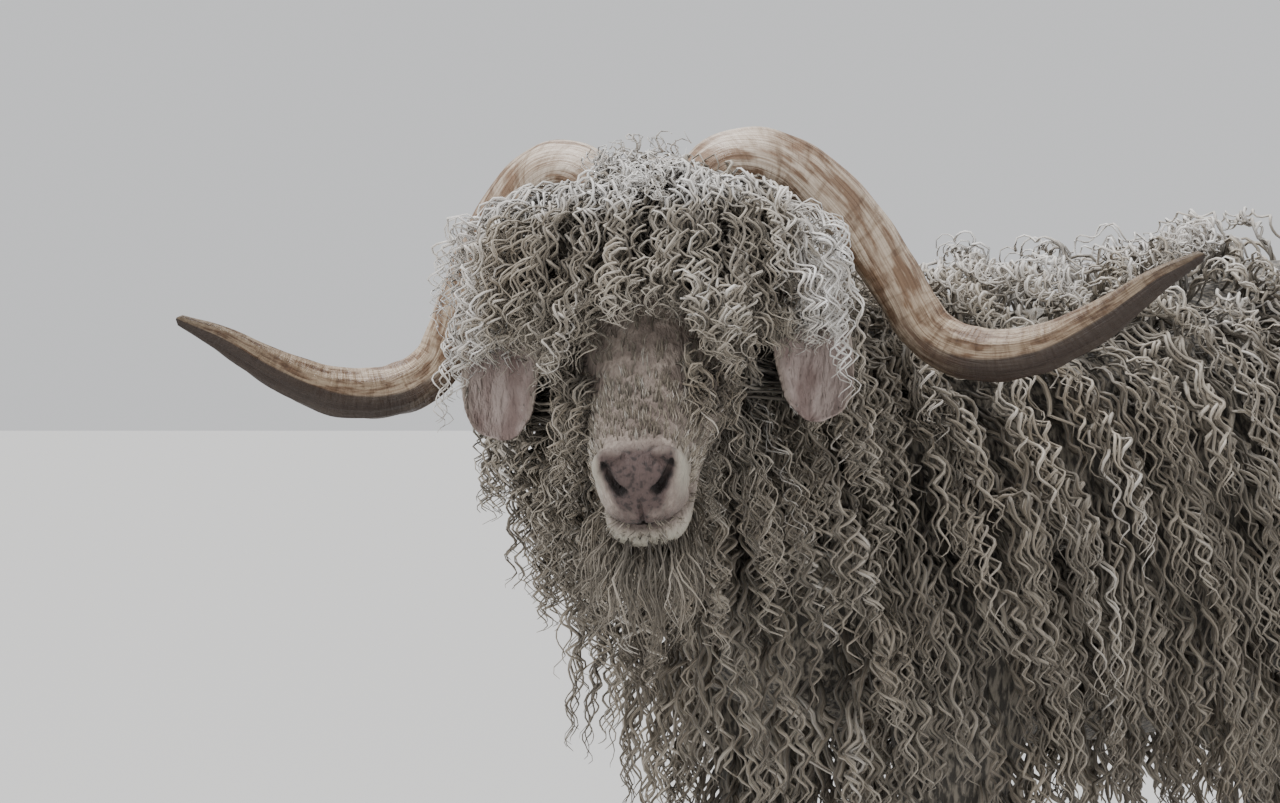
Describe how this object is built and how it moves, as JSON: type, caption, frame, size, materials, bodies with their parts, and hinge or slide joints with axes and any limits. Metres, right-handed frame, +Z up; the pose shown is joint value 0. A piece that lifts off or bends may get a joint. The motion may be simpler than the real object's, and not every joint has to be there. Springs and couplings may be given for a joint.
{
  "type": "angora goat",
  "caption": "Standing life-size angora goat with long twisted horns and a curly fleece, its head turned to its left, as a still display model.",
  "frame": {"origin": "centre of the bounding box's bottom face, on the floor that the claws stand on", "axes": "+Z up, -Y the way that the body faces, +X towards the goat's left side"},
  "size_m": [0.6846, 1.3688, 0.8318],
  "materials": {
    "fleece": "matt, curly mohair in long wavy locks",
    "short_hair": "matt, short close hair",
    "skin": "soft skin with fine down",
    "horn": "satin, streaked along its length",
    "hoof": "dull horn",
    "eye": "wet and clear"
  },
  "bodies": {
    "root": {"torso": "fleece", "neck": "fleece", "head": "fleece", "tail": "fleece", "muzzle": "short_hair", "lower_jaw": "short_hair", "horn_left": "horn", "ear_left": "skin", "eye_left": "eye", "leg_front_left": "fleece", "shank_front_left": "fleece", "claw_front_left_outer": "hoof", "claw_front_left_inner": "hoof", "leg_hind_left": "fleece", "shank_hind_left": "fleece", "claw_hind_left_outer": "hoof", "claw_hind_left_inner": "hoof", "horn_right": "horn", "ear_right": "skin", "eye_right": "eye", "leg_front_right": "fleece", "shank_front_right": "fleece", "claw_front_right_outer": "hoof", "claw_front_right_inner": "hoof", "leg_hind_right": "fleece", "shank_hind_right": "fleece", "claw_hind_right_outer": "hoof", "claw_hind_right_inner": "hoof"}
  },
  "joints": []
}
